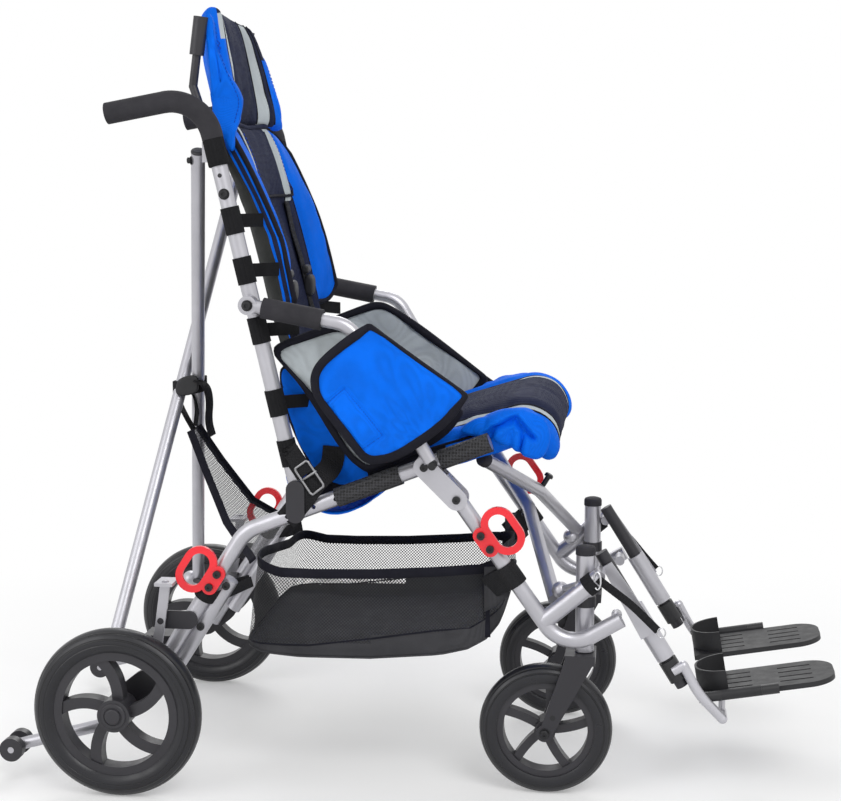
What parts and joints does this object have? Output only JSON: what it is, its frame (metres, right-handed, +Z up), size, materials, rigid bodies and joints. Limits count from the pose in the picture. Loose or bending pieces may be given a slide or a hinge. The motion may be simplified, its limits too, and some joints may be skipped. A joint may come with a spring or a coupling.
{
  "type": "special needs buggy",
  "caption": "Folding push buggy for a seated rider, with a crossed tube frame, padded seat and headrest, armrests, basket, footplates, swivel front wheels and foot brakes.",
  "frame": {"origin": "on the ground, under the middle of the buggy's length and width", "axes": "+X forward, towards the footplates; +Y to the rider's left; +Z up"},
  "size_m": [1.2798, 0.606, 1.1835],
  "materials": {
    "silver_tube": "satin",
    "red_metal": "gloss",
    "black_metal": "satin",
    "woven_sleeve": "woven",
    "foam": "matte",
    "webbing": "woven",
    "wheel_plastic": "satin",
    "tyre_rubber": "matte",
    "black_plastic": "matte",
    "blue_fabric": "woven",
    "navy_fabric": "woven",
    "mesh_fabric": "mesh"
  },
  "bodies": {
    "right_frame": {"right_side_rail": "silver_tube", "right_front_leg": "silver_tube", "right_leg_bracket": "silver_tube", "right_tie_downs": "red_metal", "right_frame_bolts": "black_metal", "right_rail_sleeves": "woven_sleeve", "right_frame_brackets": "black_metal", "right_side_panel": "blue_fabric", "seat_cushion": "blue_fabric", "seat_sling": "blue_fabric", "basket": "mesh_fabric", "lap_belt": "webbing"},
    "left_frame": {"left_side_rail": "silver_tube", "left_front_leg": "silver_tube", "left_leg_bracket": "silver_tube", "left_tie_downs": "red_metal", "left_frame_bolts": "black_metal", "left_rail_sleeves": "woven_sleeve", "left_frame_brackets": "black_metal", "left_side_panel": "blue_fabric"},
    "right_upright": {"right_back_upright": "silver_tube", "right_push_grip": "foam", "right_upright_straps": "webbing", "right_head_post": "black_metal", "back_cushion": "navy_fabric", "head_cushion": "blue_fabric", "harness": "webbing"},
    "left_upright": {"left_back_upright": "silver_tube", "left_push_grip": "foam", "left_upright_straps": "webbing", "left_head_post": "black_metal"},
    "right_arm": {"right_armrest_tube": "silver_tube", "right_armrest_pad": "foam"},
    "right_rear_wheel": {"right_rear_rim": "wheel_plastic", "right_rear_tyre": "tyre_rubber"},
    "right_caster": {"right_caster_fork": "black_metal"},
    "right_caster_wheel": {"right_caster_rim": "wheel_plastic", "right_caster_tyre": "tyre_rubber"},
    "right_rear_tube": {"right_rear_cross": "silver_tube"},
    "right_front_tube": {"right_front_cross": "silver_tube"},
    "right_brake": {"right_brake_lever": "silver_tube"},
    "right_tip_rollers": {"right_rollers": "wheel_plastic"},
    "right_footrest": {"right_footrest_tube": "black_metal", "right_footrest_arm": "silver_tube"},
    "right_plate": {"right_footplate": "black_plastic"},
    "left_arm": {"left_armrest_tube": "silver_tube", "left_armrest_pad": "foam"},
    "left_rear_wheel": {"left_rear_rim": "wheel_plastic", "left_rear_tyre": "tyre_rubber"},
    "left_caster": {"left_caster_fork": "black_metal"},
    "left_caster_wheel": {"left_caster_rim": "wheel_plastic", "left_caster_tyre": "tyre_rubber"},
    "left_rear_tube": {"left_rear_cross": "silver_tube"},
    "left_front_tube": {"left_front_cross": "silver_tube"},
    "left_brake": {"left_brake_lever": "silver_tube"},
    "left_tip_rollers": {"left_rollers": "wheel_plastic"},
    "left_footrest": {"left_footrest_tube": "black_metal", "left_footrest_arm": "silver_tube"},
    "left_plate": {"left_footplate": "black_plastic"}
  },
  "joints": [
    {"name": "fold", "type": "slide", "parent": "right_frame", "child": "left_frame", "axis": [0, -1, 0], "range_m": [0, 0.27], "deforming": ["seat_cushion", "seat_sling", "back_cushion", "head_cushion", "harness", "lap_belt", "basket", "right_side_panel", "left_side_panel"]},
    {"name": "right_back_tilt", "type": "hinge", "parent": "right_frame", "child": "right_upright", "pos_m": [-0.16843, -0.215, 0.468], "axis": [0, 1, 0], "range_deg": [0, 25.16]},
    {"name": "right_arm_lift", "type": "hinge", "parent": "right_upright", "child": "right_arm", "pos_m": [-0.23256, -0.2376, 0.744], "axis": [0, -1, 0], "range_deg": [0, 60.05]},
    {"name": "right_rear_tube_turn", "type": "hinge", "parent": "right_frame", "child": "right_rear_tube", "pos_m": [-0.45043, -0.196, 0.215], "axis": [0.7644, 0.6441, 0.0304], "range_deg": [0, 26.47]},
    {"name": "right_front_tube_turn", "type": "hinge", "parent": "right_frame", "child": "right_front_tube", "pos_m": [0.22557, -0.182, 0.316], "axis": [0.5562, -0.7387, 0.3808], "range_deg": [0, 73.48]},
    {"name": "right_footrest_slide", "type": "slide", "parent": "right_frame", "child": "right_footrest", "axis": [0.5299, 0, -0.848], "range_m": [0, 0.04]},
    {"name": "right_plate_lift", "type": "hinge", "parent": "right_footrest", "child": "right_plate", "pos_m": [0.43469, -0.167, 0.15216], "axis": [0.9848, 0, 0.1736], "range_deg": [0, 90.05]},
    {"name": "right_rear_wheel_spin", "type": "hinge", "parent": "right_frame", "child": "right_rear_wheel", "pos_m": [-0.43443, -0.28, 0.13], "axis": [0, 1, 0], "continuous": true},
    {"name": "right_caster_swivel", "type": "hinge", "parent": "right_frame", "child": "right_caster", "pos_m": [0.26257, -0.182, 0.223], "axis": [0, 0, 1], "continuous": true},
    {"name": "right_caster_wheel_spin", "type": "hinge", "parent": "right_caster", "child": "right_caster_wheel", "pos_m": [0.20557, -0.182, 0.101], "axis": [0, 1, 0], "continuous": true},
    {"name": "right_tip_roller_spin", "type": "hinge", "parent": "right_frame", "child": "right_tip_rollers", "pos_m": [-0.62143, -0.215, 0.046], "axis": [0, 1, 0], "continuous": true},
    {"name": "right_brake_turn", "type": "hinge", "parent": "right_frame", "child": "right_brake", "pos_m": [-0.37643, -0.2388, 0.262], "axis": [0, -1, 0], "range_deg": [0, 20]},
    {"name": "left_back_tilt", "type": "hinge", "parent": "left_frame", "child": "left_upright", "pos_m": [-0.16843, 0.215, 0.468], "axis": [0, 1, 0], "range_deg": [0, 25.16]},
    {"name": "left_arm_lift", "type": "hinge", "parent": "left_upright", "child": "left_arm", "pos_m": [-0.23256, 0.2376, 0.744], "axis": [0, -1, 0], "range_deg": [0, 60.05]},
    {"name": "left_rear_tube_turn", "type": "hinge", "parent": "left_frame", "child": "left_rear_tube", "pos_m": [-0.45043, 0.196, 0.215], "axis": [-0.7644, 0.6441, -0.0304], "range_deg": [0, 26.47]},
    {"name": "left_front_tube_turn", "type": "hinge", "parent": "left_frame", "child": "left_front_tube", "pos_m": [0.22557, 0.182, 0.316], "axis": [-0.5562, -0.7387, -0.3808], "range_deg": [0, 73.48]},
    {"name": "left_footrest_slide", "type": "slide", "parent": "left_frame", "child": "left_footrest", "axis": [0.5299, 0, -0.848], "range_m": [0, 0.04]},
    {"name": "left_plate_lift", "type": "hinge", "parent": "left_footrest", "child": "left_plate", "pos_m": [0.43469, 0.167, 0.15216], "axis": [-0.9848, 0, -0.1736], "range_deg": [0, 90.05]},
    {"name": "left_rear_wheel_spin", "type": "hinge", "parent": "left_frame", "child": "left_rear_wheel", "pos_m": [-0.43443, 0.28, 0.13], "axis": [0, 1, 0], "continuous": true},
    {"name": "left_caster_swivel", "type": "hinge", "parent": "left_frame", "child": "left_caster", "pos_m": [0.26257, 0.182, 0.223], "axis": [0, 0, 1], "continuous": true},
    {"name": "left_caster_wheel_spin", "type": "hinge", "parent": "left_caster", "child": "left_caster_wheel", "pos_m": [0.20557, 0.182, 0.101], "axis": [0, 1, 0], "continuous": true},
    {"name": "left_tip_roller_spin", "type": "hinge", "parent": "left_frame", "child": "left_tip_rollers", "pos_m": [-0.62143, 0.215, 0.046], "axis": [0, 1, 0], "continuous": true},
    {"name": "left_brake_turn", "type": "hinge", "parent": "left_frame", "child": "left_brake", "pos_m": [-0.37643, 0.2388, 0.262], "axis": [0, -1, 0], "range_deg": [0, 20]}
  ],
  "couplings": [
    {"joint": "right_back_tilt", "follows": "fold", "rad_per_m": 1.6232},
    {"joint": "right_arm_lift", "follows": "fold", "rad_per_m": 3.8785},
    {"joint": "right_rear_tube_turn", "follows": "fold", "rad_per_m": 1.7075},
    {"joint": "right_front_tube_turn", "follows": "fold", "rad_per_m": 4.7468},
    {"joint": "right_plate_lift", "follows": "fold", "rad_per_m": 5.8178},
    {"joint": "left_back_tilt", "follows": "fold", "rad_per_m": 1.6232},
    {"joint": "left_arm_lift", "follows": "fold", "rad_per_m": 3.8785},
    {"joint": "left_rear_tube_turn", "follows": "fold", "rad_per_m": 1.7075},
    {"joint": "left_front_tube_turn", "follows": "fold", "rad_per_m": 4.7468},
    {"joint": "left_plate_lift", "follows": "fold", "rad_per_m": 5.8178}
  ]
}
